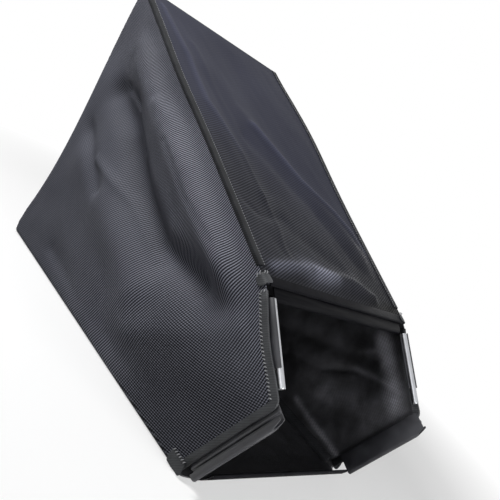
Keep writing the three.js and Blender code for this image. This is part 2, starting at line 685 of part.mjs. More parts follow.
// Lower channels, down the lower side edges of the mouth, with the hook turned outwards.
const bindingInner = fabric / 2 + touch + tapeLeaf;
const stripDepth = tapeWidth - 1;
const bindingOut = tapeLeaf + touch;
for (const [word, side] of sides) {
  const edge = panelEdge;
  const bendEnd = edge.bend[edge.bend.length - 1];
  const plateBack = (y) => halfWidth(y) - fabric / 2 - bindingInner - touch - channelWall;
  const out = edge.lowerIn.clone().negate();
  const start = bendEnd.clone().addScaledVector(edge.lower, -channelRise);
  const end = edge.floorEnd.clone().addScaledVector(edge.lower, -channelEnd);
  const frames = [start, end].map((place) => ({
    origin: inPlane(place.clone().addScaledVector(out, bindingOut + touch), side * plateBack(place.x)),
    across: inPlane(out, 0),
    up: sideways(side),
  }));
  const whole = sweep(hookOutline(stripDepth, channelPlate, channelBead, 0), frames);
  // The cut corner is a wedge across the hook at the channel's upper end.
  const reach = channelPlate + (channelWall + channelPocket + channelHookWall) / 2;
  const over = 2;
  const wedge = [
    new THREE.Vector2(reach - chamferDepth, -over),
    new THREE.Vector2(reach + over, -over),
    new THREE.Vector2(reach + over, chamferLength + (chamferLength * over) / chamferDepth),
  ];
  const wedgeFrames = [-over, reach].map((height) => ({
    origin: frames[0].origin.clone().addScaledVector(sideways(side), height),
    across: inPlane(out, 0),
    up: inPlane(edge.lower, 0),
  }));
  const cut = toManifold(whole).subtract(toManifold(sweep(wedge, wedgeFrames)));
  add(`${word}_lower_channel`, fromManifold(cut), plastic);
}

// Channel across the top of the mouth, with its strip under the hem and the hook turned in.
const topStripDepth = 12;
const underHem = fabric + touch + seamLeaf + touch;
const topPlateRun = topRun.clone().negate().rotateAround(new THREE.Vector2(), topChannelTilt * degrees);
const topPlateIn = new THREE.Vector2(-topPlateRun.y, topPlateRun.x);
const topChannelPlace = mouthTop.clone()
  .addScaledVector(topRun, -bindingOut)
  .addScaledVector(topNormal, -underHem);
const topChannelHalf = mouthWidth / 2 + tabGap + seamLeaf - tabWidth - topChannelClear;
const topChannelFrames = crossFrames(topChannelPlace, topPlateRun, topPlateIn, topChannelHalf);
const topOutline = hookOutline(topStripDepth, topChannelPlate, 0, topChannelTilt * degrees);
add('top_channel', sweep(topOutline, topChannelFrames), plastic);

// Rod clips on the sloped edges: a flange under the binding and an open barrel round the rod.
// The flange runs on into the barrel, so the barrel lies against the binding's inner leg.
const clipInner = rodDiameter / 2 + touch;
const clipOuter = clipInner + clipWall;
const clipFace = fabric / 2 + bindingInner + touch;
const rodInset = clipFace + clipOuter;

function clipOutline() {
  const flangeBack = -clipFace - clipWall;
  const meeting = Math.PI - Math.asin(clipInner / clipOuter);
  const lips = [clipFacing + clipOpening / 2, clipFacing - clipOpening / 2 + 360].map((a) => a * degrees);
  const shape = new THREE.Shape();
  shape.moveTo(-stripDepth, -clipFace);
  shape.absarc(-rodSetback, -rodInset, clipOuter, Math.PI / 2, lips[0], true);
  shape.absarc(-rodSetback, -rodInset, clipInner, lips[0], lips[1], false);
  shape.absarc(-rodSetback, -rodInset, clipOuter, lips[1], meeting, true);
  shape.lineTo(-stripDepth, flangeBack);
  return outlineOf(shape, 10);
}

for (const [word, side] of sides) {
  const edge = panelEdge;
  const foot = edge.bend[0].clone();
  const bendBack = foot.distanceTo(nose);
  const out = edge.slopeIn.clone().negate();
  const placeAt = (reach) => foot.clone().addScaledVector(edge.slope, reach - bendBack)
    .addScaledVector(out, bindingOut);
  const frames = [rodStart + clipFree, rodStart + rodLength].map((reach) => ({
    origin: inPlane(placeAt(reach), side * halfWidth(placeAt(reach).x)),
    across: inPlane(out, 0),
    up: sideways(side),
  }));
  add(`${word}_rod_clip`, sweep(clipOutline(), frames), plastic);

  const radius = rodDiameter / 2;
  const profile = [
    [0, 0], [radius - rodChamfer, 0], [radius, rodChamfer], [radius, rodLength - rodChamfer],
    [radius - rodChamfer, rodLength], [0, rodLength],
  ].map(([x, y]) => new THREE.Vector2(x, y));
  const rodSides = 20;
  const rod = mergeRod(new THREE.LatheGeometry(profile, rodSides));
  const mesh = add(`${word}_rod`, rod, zinc);
  const [from, to] = [rodStart, rodStart + rodLength].map((reach) => {
    const x = side * (halfWidth(placeAt(reach).x) - rodInset);
    return inPlane(placeAt(reach).addScaledVector(out, -rodSetback), x);
  });
  mesh.position.copy(from);
  mesh.quaternion.setFromUnitVectors(new THREE.Vector3(0, 1, 0), to.sub(from).normalize());
}

function mergeRod(geometry) {
  geometry.deleteAttribute('normal');
  geometry.deleteAttribute('uv');
  const merged = mergeVertices(geometry, 1e-4);
  merged.computeVertexNormals();
  return merged;
}

// The origin is moved to the ground under the middle of the bag.
const box = new THREE.Box3().setFromObject(bag);
const middle = box.getCenter(new THREE.Vector3());
bag.position.set(-middle.x, -middle.y, -box.min.z);

const part = new THREE.Group();
part.add(bag);
export default part;
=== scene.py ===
# Soft grass collection bag for a lawn mower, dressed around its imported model.
# Metres, +X to the bag's right, +Y from the mouth to the rear, +Z up. In the photograph the bag
# lies over to the right, so the camera is rolled and the bag stands upright here.

import math

import bmesh
import bpy
import numpy as np
from mathutils import Matrix, Vector, noise
from mathutils.kdtree import KDTree


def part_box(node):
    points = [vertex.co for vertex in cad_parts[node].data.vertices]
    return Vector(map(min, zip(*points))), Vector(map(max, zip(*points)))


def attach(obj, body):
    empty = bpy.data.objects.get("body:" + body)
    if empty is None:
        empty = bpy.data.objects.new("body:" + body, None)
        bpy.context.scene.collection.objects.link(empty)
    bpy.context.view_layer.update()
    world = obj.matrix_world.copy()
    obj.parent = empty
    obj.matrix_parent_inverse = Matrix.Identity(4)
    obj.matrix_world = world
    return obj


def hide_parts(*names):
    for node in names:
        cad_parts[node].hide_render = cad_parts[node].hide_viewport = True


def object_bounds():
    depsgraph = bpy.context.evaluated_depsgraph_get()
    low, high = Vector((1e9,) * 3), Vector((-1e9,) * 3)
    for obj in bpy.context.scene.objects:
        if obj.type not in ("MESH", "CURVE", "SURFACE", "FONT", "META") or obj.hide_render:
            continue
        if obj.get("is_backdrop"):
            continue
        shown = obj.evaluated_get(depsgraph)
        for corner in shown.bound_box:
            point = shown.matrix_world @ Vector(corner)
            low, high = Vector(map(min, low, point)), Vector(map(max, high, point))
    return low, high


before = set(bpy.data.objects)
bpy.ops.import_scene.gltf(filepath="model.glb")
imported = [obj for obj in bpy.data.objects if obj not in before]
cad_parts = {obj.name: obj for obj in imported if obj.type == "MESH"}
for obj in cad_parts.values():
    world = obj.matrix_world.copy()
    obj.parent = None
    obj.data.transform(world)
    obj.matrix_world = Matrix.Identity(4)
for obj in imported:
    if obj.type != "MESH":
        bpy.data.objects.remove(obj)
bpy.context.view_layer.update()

bpy.ops.object.select_all(action="DESELECT")

# Camera
# It stands in front of the bag and to its left, a little above the mouth's top edge.
# Places on the bag are given from the front end of the floor seam, on the bag's middle plane.
left_patch, right_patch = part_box("left_corner_patch"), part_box("right_corner_patch")
patch_reach = 0.006
middle_x = (left_patch[0].x + right_patch[1].x) / 2
seam_front = left_patch[0].y + patch_reach
camera_from_seam = Vector((-0.8428, -0.4377, 0.4669))
camera_place = Vector((middle_x, seam_front, 0)) + camera_from_seam
camera_ahead = Vector((0.7558, 0.6152, -0.2242)).normalized()
camera_up = Vector((-0.2108, 0.5528, 0.8062)).normalized()
focal_length = 51.5

camera_right = camera_ahead.cross(camera_up)
camera_data = bpy.data.cameras.new("camera")
camera_data.lens = focal_length
camera = bpy.data.objects.new("camera", camera_data)
camera.matrix_world = Matrix.Translation(camera_place) @ Matrix(
    (camera_right, camera_up, -camera_ahead)
).transposed().to_4x4()
bpy.context.collection.objects.link(camera)
bpy.context.scene.camera = camera

# Side panels
# Two panels of black twill polyester with a smooth dark coating inside, cut to the bag's
# profile. Their lower and rear edges are rolled under before they are sewn. The cloth is slack
# and hangs in long folds from the mouth's top corner.
cloth_thickness = 0.0012
roll_radius = 0.005
sheet_levels = 3
rib_pitch = 0.0044
cross_pitch = 0.0031

# Colours of the twill's ribs: a painted sheen on their crests, then their flanks, and painted shade in
# their hollows.
rib_sheen = (0.240, 0.246, 0.290, 1)
rib_side = (0.058, 0.060, 0.072, 1)
rib_dark = (0.007, 0.007, 0.009, 1)
worn_grey = (0.80, 0.80, 0.82, 1)
cool_blue = (0.95, 0.96, 1.16, 1)
white = (1, 1, 1, 1)
coat_light = (0.075, 0.075, 0.084, 1)
coat_dark = (0.018, 0.018, 0.020, 1)


def add_node(material, kind, inputs=None, **settings):
    made = material.node_tree.nodes.new(kind)
    for key, value in settings.items():
        setattr(made, key, value)
    for key, value in (inputs or {}).items():
        if isinstance(value, bpy.types.NodeSocket):
            material.node_tree.links.new(value, made.inputs[key])
        else:
            made.inputs[key].default_value = value
    return made


def new_material(name, roughness, metallic=0.0, sheen=0.0, specular=0.5):
    material = bpy.data.materials.new(name)
    material.use_nodes = True
    shader = material.node_tree.nodes["Principled BSDF"]
    shader.inputs["Roughness"].default_value = roughness
    shader.inputs["Metallic"].default_value = metallic
    shader.inputs["Sheen Weight"].default_value = sheen
    shader.inputs["Specular IOR Level"].default_value = specular
    return material


def set_shader(material, **sockets):
    shader = material.node_tree.nodes["Principled BSDF"]
    for name, socket in sockets.items():
        material.node_tree.links.new(socket, shader.inputs[name.replace("_", " ")])


def math_node(material, operation, first, second=0.0, third=0.0):
    inputs = {0: first, 1: second, 2: third}
    return add_node(material, "ShaderNodeMath", inputs, operation=operation).outputs[0]


def noise_node(material, vector, scale, detail):
    inputs = {"Vector": vector, "Scale": scale, "Detail": detail}
    return add_node(material, "ShaderNodeTexNoise", inputs).outputs["Fac"]


def range_node(material, value, low, high, to_low, to_high):
    inputs = {
        "Value": value, "From Min": low, "From Max": high, "To Min": to_low, "To Max": to_high,
    }
    return add_node(material, "ShaderNodeMapRange", inputs).outputs[0]


def ramp_node(material, factor, stops):
    made = add_node(material, "ShaderNodeValToRGB", {"Fac": factor})
    ramp = made.color_ramp
    while len(ramp.elements) < len(stops):
        ramp.elements.new(0.5)
    for element, (position, colour) in zip(ramp.elements, stops):
        element.position = position
        element.color = colour
    return made.outputs["Color"]


def mix_node(material, factor, first, second, blend="MIX"):
    inputs = {0: factor, 6: first, 7: second}
    settings = {"data_type": "RGBA", "blend_type": blend}
    return add_node(material, "ShaderNodeMix", inputs, **settings).outputs[2]


def scale_node(material, colour, factor):
    inputs = {0: colour, "Scale": factor}
    return add_node(material, "ShaderNodeVectorMath", inputs, operation="SCALE").outputs[0]


def relief_node(material, height, strength, distance):
    inputs = {"Strength": strength, "Distance": distance, "Height": height}
    return add_node(material, "ShaderNodeBump", inputs).outputs["Normal"]


def waves(material, vector, direction, pitch):
    """Height from -1 to 1 of ribs that follow each other along a direction."""
    turns = [2 * math.pi * part / pitch for part in direction]
    inputs = {0: vector, 1: (turns[0], turns[1], 0)}
    dot = add_node(material, "ShaderNodeVectorMath", inputs, operation="DOT_PRODUCT")
    return math_node(material, "SINE", dot.outputs["Value"])


def attribute(material, name):
    return add_node(material, "ShaderNodeAttribute", attribute_name=name).outputs["Fac"]


# The weave shows as ribs, whose crests carry a painted sheen and whose hollows a painted shade. The ribs
# stand out most at the mouth and along the top seam, and low on the front the weave shows as a grid of
# dots.
twill = new_material("twill", 0.5, specular=0.05)
cut = add_node(twill, "ShaderNodeUVMap", uv_map="cut").outputs["UV"]
ribs = math_node(twill, "MULTIPLY", waves(twill, cut, (1, 0), rib_pitch), attribute(twill, "ribbed"))
dots = math_node(
    twill, "MULTIPLY", waves(twill, cut, (0.25, 0.97), cross_pitch), attribute(twill, "dotted")
)
yarn = noise_node(twill, cut, scale=700.0, detail=2.0)
weave = math_node(twill, "MULTIPLY_ADD", yarn, 0.7, math_node(twill, "ADD", ribs, dots))
weave_share = math_node(twill, "MULTIPLY_ADD", weave, 0.42, 0.30)
worn = noise_node(twill, cut, scale=8.0, detail=5.0)
weave_colour = ramp_node(twill, weave_share, [(0.05, rib_dark), (0.45, rib_side), (0.95, rib_sheen)])
worn_tint = ramp_node(twill, worn, [(0.3, worn_grey), (0.7, white)])
tinted = mix_node(twill, 1.0, weave_colour, worn_tint, "MULTIPLY")
# Painted reflection: the cool attribute tints the top panel blue, as a reflection of the sky.
cool_tint = mix_node(twill, attribute(twill, "cool"), white, cool_blue)
tinted = mix_node(twill, 1.0, tinted, cool_tint, "MULTIPLY")
set_shader(
    twill, Base_Color=scale_node(twill, tinted, attribute(twill, "faded")),
    Normal=relief_node(twill, weave_share, strength=0.6, distance=0.0006),
    Roughness=range_node(twill, weave_share, low=0.2, high=0.9, to_low=0.62, to_high=0.42),
)

# The coating is smooth, creased where it has been folded, and lets a little of the weave show.
# The lining attribute is 0 where it is dark, and grows where light and glints are painted on.
coating = new_material("smooth_coating", 0.36)
cut = add_node(coating, "ShaderNodeUVMap", uv_map="cut").outputs["UV"]
coat_creases = noise_node(coating, cut, scale=22.0, detail=6.0)
coat_ribs = waves(coating, cut, (1, 0), rib_pitch)
coat_dots = waves(coating, cut, (0.25, 0.97), cross_pitch)
coat_weave = math_node(coating, "MULTIPLY", coat_ribs, coat_dots)
coat_height = math_node(coating, "MULTIPLY_ADD", coat_weave, 0.03, coat_creases)
lining = attribute(coating, "lining")
coat_contrast = math_node(coating, "MULTIPLY_ADD", lining, 0.08, 0.06)
coat_share = math_node(coating, "MULTIPLY_ADD", coat_weave, coat_contrast, coat_creases)
coat_colour = ramp_node(coating, coat_share, [(0.35, coat_dark), (0.72, coat_light)])
set_shader(
    coating, Base_Color=scale_node(coating, coat_colour, math_node(coating, "ADD", lining, 0.60)),
    Normal=relief_node(coating, coat_height, strength=0.7, distance=0.0040),
    Roughness=range_node(coating, coat_creases, low=0.3, high=0.7, to_low=0.46, to_high=0.30),
)


def only_selected(piece):
    bpy.ops.object.select_all(action="DESELECT")
    bpy.context.view_layer.objects.active = piece
    piece.select_set(True)


merge_distance = 0.00002


def merged_copy(node, name):
    """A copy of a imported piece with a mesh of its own, joined where its faces meet."""
    piece = bpy.data.objects.new(name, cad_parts[node].data.copy())
    piece.data.materials.clear()
    bpy.context.collection.objects.link(piece)
    only_selected(piece)
    bpy.ops.object.mode_set(mode="EDIT")
    bpy.ops.mesh.select_all(action="SELECT")
    bpy.ops.mesh.remove_doubles(threshold=merge_distance)
    bpy.ops.mesh.select_mode(type="FACE")
    bpy.ops.mesh.select_all(action="DESELECT")
    bpy.ops.object.mode_set(mode="OBJECT")
    return piece


def outer_sheet(node, name, outward):
    """The outer face of a packed panel as one fine sheet of square cells."""
    facing = 0.3
    piece = merged_copy(node, name)
    for face in piece.data.polygons:
        face.select = face.normal.dot(outward) < facing
    bpy.ops.object.mode_set(mode="EDIT")
    bpy.ops.mesh.delete(type="FACE")
    bpy.ops.mesh.select_all(action="SELECT")
    bpy.ops.mesh.tris_convert_to_quads(face_threshold=math.pi, shape_threshold=math.pi)
    bpy.ops.object.mode_set(mode="OBJECT")
    fine = piece.modifiers.new("fine", "SUBSURF")
    fine.levels = fine.render_levels = sheet_levels
    fine.boundary_smooth = "PRESERVE_CORNERS"
    bpy.ops.object.modifier_apply(modifier="fine")
    return piece


def points_of(piece):
    places = np.empty(len(piece.data.vertices) * 3)
    piece.data.vertices.foreach_get("co", places)
    return places.reshape(-1, 3)


def put_points(piece, places):
    piece.data.vertices.foreach_set("co", places.ravel())
    piece.data.update()


def from_edge(piece, places):
    """Distance of each point of a sheet from the sheet's open edge."""
    shape = bmesh.new()
    shape.from_mesh(piece.data)
    numbers = [vertex.index for vertex in shape.verts if vertex.is_boundary]
    shape.free()
    tree = KDTree(len(numbers))
    for number in numbers:
        tree.insert(places[number], number)
    tree.balance()
    return np.array([tree.find(place)[2] for place in places])


def ease(value, low, high):
    share = np.clip((value - low) / (high - low), 0, 1)
    return share * share * (3 - 2 * share)


def ridge(across, up, path, width):
    """Height from 0 to 1 of a fold that follows a path in the panel's own plane."""
    nearest = np.full(len(across), np.inf)
    for start, end in zip(path, path[1:]):
        run = np.subtract(end, start)
        share = ((across - start[0]) * run[0] + (up - start[1]) * run[1]) / (run @ run)
        share = np.clip(share, 0, 1)
        away = np.hypot(across - start[0] - share * run[0], up - start[1] - share * run[1])
        nearest = np.minimum(nearest, away)
    return np.exp(-((nearest / width) ** 2))


def folded(across, up, folds):
    """Sum of folds, each with its path, its height and its half width."""
    total = np.zeros(len(across))
    for path, height, width in folds:
        total += height * ridge(across, up, path, width)
    return total


def crumple(across, up, turn, long, short, seed):
    """Soft creases from -1 to 1, drawn out along a direction given in degrees."""
    c, s = math.cos(math.radians(turn)), math.sin(math.radians(turn))
    along = (across * c + up * s) / long
    beside = (up * c - across * s) / short
    return np.array([noise.noise(Vector((a, b, seed))) for a, b in zip(along, beside)])


def cut_map(piece, first, second):
    """Gives a sheet the map of its flat cut, with the ribs across U."""
    loops = np.empty(len(piece.data.loops), dtype=np.int32)
    piece.data.loops.foreach_get("vertex_index", loops)
    for layer in list(piece.data.uv_layers):
        piece.data.uv_layers.remove(layer)
    layer = piece.data.uv_layers.new(name="cut")
    layer.data.foreach_set("uv", np.stack([first, second], axis=1)[loops].ravel())


def turned(first, second, turn):
    c, s = math.cos(math.radians(turn)), math.sin(math.radians(turn))
    return first * c + second * s, second * c - first * s


def mark(piece, **shares):
    """Writes at each point of a sheet how strongly its weave shows and the level of its colours, with
    painted shade, highlight and reflection in them.
    """
    for name, values in shares.items():
        layer = piece.data.attributes.new(name, "FLOAT", "POINT")
        layer.data.foreach_set("value", values.astype(np.float32))


def thicken(piece, outside, inside):
    """Gives a sheet its thickness on the inside, and the finishes of its two faces."""
    piece.data.materials.append(outside)
    piece.data.materials.append(inside)
    only_selected(piece)
    wall = piece.modifiers.new("wall", "SOLIDIFY")
    wall.thickness = cloth_thickness
    wall.offset = -1
    wall.material_offset = 1
    bpy.ops.object.modifier_apply(modifier="wall")
    bpy.ops.object.shade_smooth()


bottom_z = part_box("bottom_panel")[0].z
rear_places = points_of(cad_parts["rear_panel"])
rear_gap = 0.0015


def rear_line(z):
    """Where the rear panel's outer face is at the corners, at a height."""
    corner_start, same_height = 0.17, 0.0001
    chosen = rear_places[np.abs(rear_places[:, 0] - middle_x) > corner_start]
    heights = np.unique(np.round(chosen[:, 2], 5))
    reach = [chosen[np.abs(chosen[:, 2] - height) < same_height, 1].max() for height in heights]
    return np.interp(z, heights, reach)


seam_flat = 0.013
slack_run = 0.026
side_lumps = 0.0016
side_wrinkles = 0.0005

# A fold is a path of places along the floor and up, then its height and its half width. The
# ones that run to the mouth's top corner are the longest.
left_creases = [
    ([(0.500, 0.380), (0.370, 0.312), (0.226, 0.262), (0.130, 0.235)], 0.0100, 0.030),
    ([(0.505, 0.300), (0.440, 0.268), (0.351, 0.218), (0.244, 0.178), (0.147, 0.188)], -0.0150, 0.024),
    ([(0.487, 0.190), (0.356, 0.150), (0.239, 0.115)], 0.0050, 0.030),
    ([(0.560, 0.240), (0.487, 0.202), (0.422, 0.168)], -0.0070, 0.013),
    ([(0.459, 0.200), (0.343, 0.192), (0.245, 0.160)], 0.0035, 0.008),
    ([(0.490, 0.320), (0.440, 0.312)], -0.0045, 0.008),
    ([(0.388, 0.336), (0.325, 0.330)], 0.0035, 0.010),
    ([(0.330, 0.300), (0.236, 0.262), (0.150, 0.246)], -0.0016, 0.005),
    ([(0.460, 0.318), (0.418, 0.278), (0.396, 0.262)], -0.0022, 0.006),
    ([(0.201, 0.066), (0.098, 0.148), (0.047, 0.189)], 0.0035, 0.020),
    ([(0.448, 0.031), (0.336, 0.013), (0.175, 0.016)], -0.0030, 0.014),
]
# Painted shade: the cloth is darkened in the hollow of its longest fold.
hollow_painted_shade = [([(0.425, 0.262), (0.351, 0.222), (0.260, 0.188)], 0.45, 0.020)]
# Painted light on the coating: a pool of light behind the rods, where light falls in through the mouth,
# and painted glints on a crease and along the foot of the panel.
pale_lining = [
    ([(0.061, 0.212), (0.016, 0.178), (-0.018, 0.146)], 4.2, 0.015),
    ([(0.100, 0.075), (0.040, 0.104), (-0.010, 0.111)], 0.7, 0.024),
    ([(0.125, 0.034), (0.072, 0.027), (0.005, 0.020)], 2.4, 0.006),
    ([(0.077, 0.144), (0.036, 0.158), (-0.012, 0.170)], 0.9, 0.005),
    ([(0.090, 0.168), (0.067, 0.189)], 0.9, 0.005),
]
right_creases = [
    ([(0.189, 0.084), (0.123, 0.104), (0.077, 0.139), (0.036, 0.153), (-0.012, 0.165)], 0.0035, 0.007),
    ([(0.060, 0.170), (0.200, 0.120), (0.330, 0.060)], 0.0050, 0.012),
    ([(0.110, 0.215), (0.260, 0.180)], -0.0040, 0.012),
    ([(0.480, 0.390), (0.330, 0.320), (0.200, 0.270)], 0.0030, 0.014),
    ([(0.520, 0.210), (0.380, 0.160)], -0.0030, 0.014),
]


def side_panel(word, side, creases, seed):
    piece = outer_sheet(f"{word}_panel", f"{word}_cloth", Vector((side, 0, 0)))
    places = points_of(piece)
    along, up = places[:, 1] - seam_front, places[:, 2].copy()
    loose = ease(from_edge(piece, places), seam_flat, seam_flat + slack_run)
    height = folded(along, up, creases)
    height += side_lumps * crumple(along, up, turn=28, long=0.150, short=0.050, seed=seed)
    height += side_wrinkles * crumple(along, up, turn=40, long=0.050, short=0.016, seed=seed + 5)
    places[:, 0] += side * height * loose
    # The border rows are carried round the lower and rear corners.
    lowest = places[:, 2].min()
    behind = rear_line(up) - places[:, 1] - rear_gap
    low = np.clip(1 - (places[:, 2] - lowest) / roll_radius, 0, 1)
    back = np.clip(1 - behind / roll_radius, 0, 1)
    u, v = np.sin(low * math.pi / 2), np.sin(back * math.pi / 2)
    down, rear = u * np.sqrt(1 - v * v / 2), v * np.sqrt(1 - u * u / 2)
    out = np.sqrt(np.clip(1 - down * down - rear * rear, 0, 1))
    places[:, 0] -= side * roll_radius * (1 - out)
    rolled_z = bottom_z + roll_radius * (1 - down)
    rolled_y = rear_line(up) - roll_radius * (1 - rear)
    places[:, 2] = np.where(low > 0, rolled_z, places[:, 2])
    places[:, 1] = np.where(back > 0, rolled_y, places[:, 1])
    put_points(piece, places)
    # The ribs stand upright at the mouth and lean further and further towards the rear.
    lean = 1.25
    cut_map(piece, along + lean * along * up, up - lean * along * along / 2)
    near_mouth = 1 - ease(along, 0.16, 0.52)
    near_seam = ease(up - 0.34 * along, 0.10, 0.20)
    high_rear = ease(up, 0.31, 0.38)
    low_front = (1 - ease(along, 0.10, 0.24)) * (1 - ease(up, 0.11, 0.20))
    strong_ribs = np.maximum(near_mouth * (1 - 0.5 * low_front), 1.15 * near_seam)
    # Painted shade: the colour level is lowered low at the front, high up towards the rear and in the
    # hollow of the longest fold; the coating inside gets painted light and glints.
    mark(
        piece, ribbed=0.22 + 0.78 * strong_ribs, dotted=0.15 + 0.95 * low_front,
        faded=1.20 - 0.55 * low_front - 0.48 * high_rear - folded(along, up, hollow_painted_shade),
        lining=folded(along, up, pale_lining),
    )
    thicken(piece, twill, coating)
    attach(piece, "root")
    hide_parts(f"{word}_panel")
    return piece


for word, side, creases, seed in (
    ("left", -1, left_creases, 3.0), ("right", 1, right_creases, 11.0),
):
    panel = side_panel(word, side, creases, seed)

# Top panel
# One sloping piece of the same twill, cut on the bias. It bulges behind the mouth, and long
# creases fan out over it from the mouth's left corner.
slope_start = Vector((0.052, 0.2555))
slope_end = Vector((0.592, 0.460))
slope_run = (slope_end - slope_start).normalized()
top_outward = Vector((0, -slope_run.y, slope_run.x))
top_lumps = 0.0014
top_wrinkles = 0.0004
top_creases = [
    ([(-0.027, 0.362), (0.051, 0.286), (0.116, 0.241), (0.185, 0.155)], 0.0050, 0.009),
    ([(-0.060, 0.330), (0.020, 0.262), (0.090, 0.205)], -0.0035, 0.018),
    ([(-0.144, 0.565), (-0.130, 0.457), (-0.134, 0.366), (-0.102, 0.285), (-0.096, 0.204)], 0.0022, 0.007),
    ([(-0.100, 0.500), (-0.088, 0.400), (-0.070, 0.300)], 0.0016, 0.010),
    ([(-0.172, 0.196), (-0.120, 0.167), (-0.064, 0.181)], -0.0016, 0.007),
    ([(-0.096, 0.208), (-0.084, 0.178), (-0.099, 0.125), (-0.101, 0.099)], 0.0012, 0.006),
    ([(-0.150, 0.076), (-0.110, 0.085), (-0.062, 0.089), (0.031, 0.091), (0.100, 0.078)], 0.0095, 0.013),
    ([(-0.030, 0.150), (0.040, 0.120)], -0.0025, 0.016),
    ([(0.060, 0.215), (0.110, 0.140)], -0.0025, 0.014),
]
top_piece = outer_sheet("top_panel", "top_cloth", top_outward)
places = points_of(top_piece)
across = places[:, 0] - middle_x
along = places[:, 1] - seam_front
loose = ease(from_edge(top_piece, places), seam_flat, seam_flat + slack_run)
height = folded(across, along, top_creases)
height += top_lumps * crumple(across, along, turn=115, long=0.180, short=0.060, seed=21.0)
height += top_wrinkles * crumple(across, along, turn=100, long=0.060, short=0.018, seed=26.0)
places += np.outer(height * loose, top_outward)
put_points(top_piece, places)
finer = 1.25
bias_turn = -60
cut_map(top_piece, *turned(finer * across, finer * along / slope_run.x, bias_turn))
# Painted highlight: the crests of the sharpest creases and of the bulge behind the hem are lighter in
# colour.
crest_highlight = folded(across, along, [
    ([(-0.027, 0.362), (0.051, 0.286), (0.116, 0.241), (0.185, 0.155)], 0.55, 0.006),
    ([(-0.144, 0.565), (-0.130, 0.457), (-0.134, 0.366), (-0.102, 0.285)], 0.30, 0.006),
    ([(-0.150, 0.080), (-0.080, 0.091)], 1.0, 0.008),
    ([(-0.064, 0.093), (-0.030, 0.095)], 0.9, 0.018),
    ([(-0.052, 0.091), (-0.005, 0.091)], 1.0, 0.010),
])
near_mouth = 1 - ease(along + 0.45 * across, 0.14, 0.34)
behind_hem = 1 - ease(along, 0.070, 0.088)
right_corner = ease(across, 0.04, 0.15)
least_faded = 0.14 * behind_hem + 0.20 * right_corner * near_mouth
# Painted shade: the top's colour level is lower than the sides', and lower still towards the mouth, behind
# the hem and at its right front corner. Painted highlight lightens the crests, and a painted sky
# reflection tints the top blue towards the rear.
mark(
    top_piece, ribbed=0.08 + 0.50 * near_mouth, dotted=0.06 + 0.30 * near_mouth,
    faded=0.60 - 0.26 * near_mouth + crest_highlight - least_faded, cool=1 - 0.8 * near_mouth,
)
thicken(top_piece, twill, coating)
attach(top_piece, "root")
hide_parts("top_panel")

# Rear panel
# The tall panel of the same twill that closes the bag, sewn to the sides, the top and the
# floor. Nothing holds its middle, which falls in a little.
rear_lumps = 0.0024
rear_creases = [
    ([(-0.120, 0.400), (-0.040, 0.260), (-0.060, 0.120)], 0.0040, 0.014),
    ([(0.130, 0.380), (0.060, 0.250), (0.090, 0.110)], -0.0040, 0.016),
    ([(-0.140, 0.060), (0.020, 0.075), (0.150, 0.050)], 0.0030, 0.012),
]
rear_piece = outer_sheet("rear_panel", "rear_cloth", Vector((0, 1, 0)))
places = points_of(rear_piece)
across = places[:, 0] - middle_x
up = places[:, 2].copy()
loose = ease(from_edge(rear_piece, places), seam_flat, seam_flat + slack_run)
height = folded(across, up, rear_creases)
height += rear_lumps * crumple(across, up, turn=80, long=0.140, short=0.045, seed=31.0)
places[:, 1] += height * loose
half = np.abs(across).max()
places[:, 0] = middle_x + across * (half - roll_radius) / half
low = np.clip(1 - places[:, 2] / roll_radius, 0, 1) * math.pi / 2
places[:, 1] -= np.where(low > 0, roll_radius * (1 - np.cos(low)), 0)
places[:, 2] = np.where(low > 0, bottom_z + roll_radius * (1 - np.sin(low)), places[:, 2])
put_points(rear_piece, places)
rear_turn = 20
cut_map(rear_piece, *turned(across, up, rear_turn))
even = np.ones(len(up))
mark(rear_piece, ribbed=0.5 * even, dotted=0.3 * even, faded=0.9 * even)
thicken(rear_piece, twill, coating)
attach(rear_piece, "root")
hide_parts("rear_panel")

# Floor panel
# Cloth with the smooth coating on both faces, which lets the clippings slide out. It is sewn
# between the side panels and turns up at the mouth in a lip that ends in a hem.
floor_piece = outer_sheet("bottom_panel", "floor_cloth", Vector((0, 0, -1)))
places = points_of(floor_piece)
across = places[:, 0] - middle_x
along = places[:, 1] - seam_front
back = along.max()
floor_setback = roll_radius + 0.0003
front_run, back_run = 0.02, 0.05
inset = floor_setback * ease(along, 0, front_run)
half = np.abs(across).max()
places[:, 0] -= np.sign(across) * inset * (np.abs(across) / half)
places[:, 1] -= floor_setback * ease(along, back - back_run, back)
put_points(floor_piece, places)
cut_map(floor_piece, across, along)
thicken(floor_piece, coating, coating)
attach(floor_piece, "root")
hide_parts("bottom_panel")

# Bindings, bands and tapes
# Woven polyester tape: grey where it is folded over the mouth's side edges, black in the bands
# over the top seams and in the tapes that cover the raw seams inside. All are sewn on.


def woven_tape(name, dark, light, specular):
    tape = new_material(name, 0.55, specular=specular)
    place = add_node(tape, "ShaderNodeTexCoord").outputs["Object"]
    rib = add_node(
        tape, "ShaderNodeTexWave", {"Vector": place, "Scale": 150.0, "Distortion": 0.5},
        bands_direction="DIAGONAL",
    ).outputs["Fac"]
    dust = noise_node(tape, place, scale=60.0, detail=5.0)
    height = math_node(tape, "MULTIPLY_ADD", dust, 0.8, math_node(tape, "MULTIPLY", rib, 0.3))
    set_shader(
        tape, Base_Color=ramp_node(tape, height, [(0.2, dark), (0.9, light)]),
        Normal=relief_node(tape, height, strength=0.5, distance=0.0004),
    )
    return tape


def smooth_copy(node, name, material, bevel=0.0, angle=40):
    piece = merged_copy(node, name)
    piece.data.materials.append(material)
    if bevel:
        edge = piece.modifiers.new("edge", "BEVEL")
        edge.width = bevel
        edge.segments = 2
        edge.limit_method = "ANGLE"
        edge.angle_limit = math.radians(angle)
        edge.use_clamp_overlap = True
        bpy.ops.object.modifier_apply(modifier="edge")
    bpy.ops.object.shade_smooth_by_angle(angle=math.radians(angle))
    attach(piece, "root")
    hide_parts(node)
    return piece


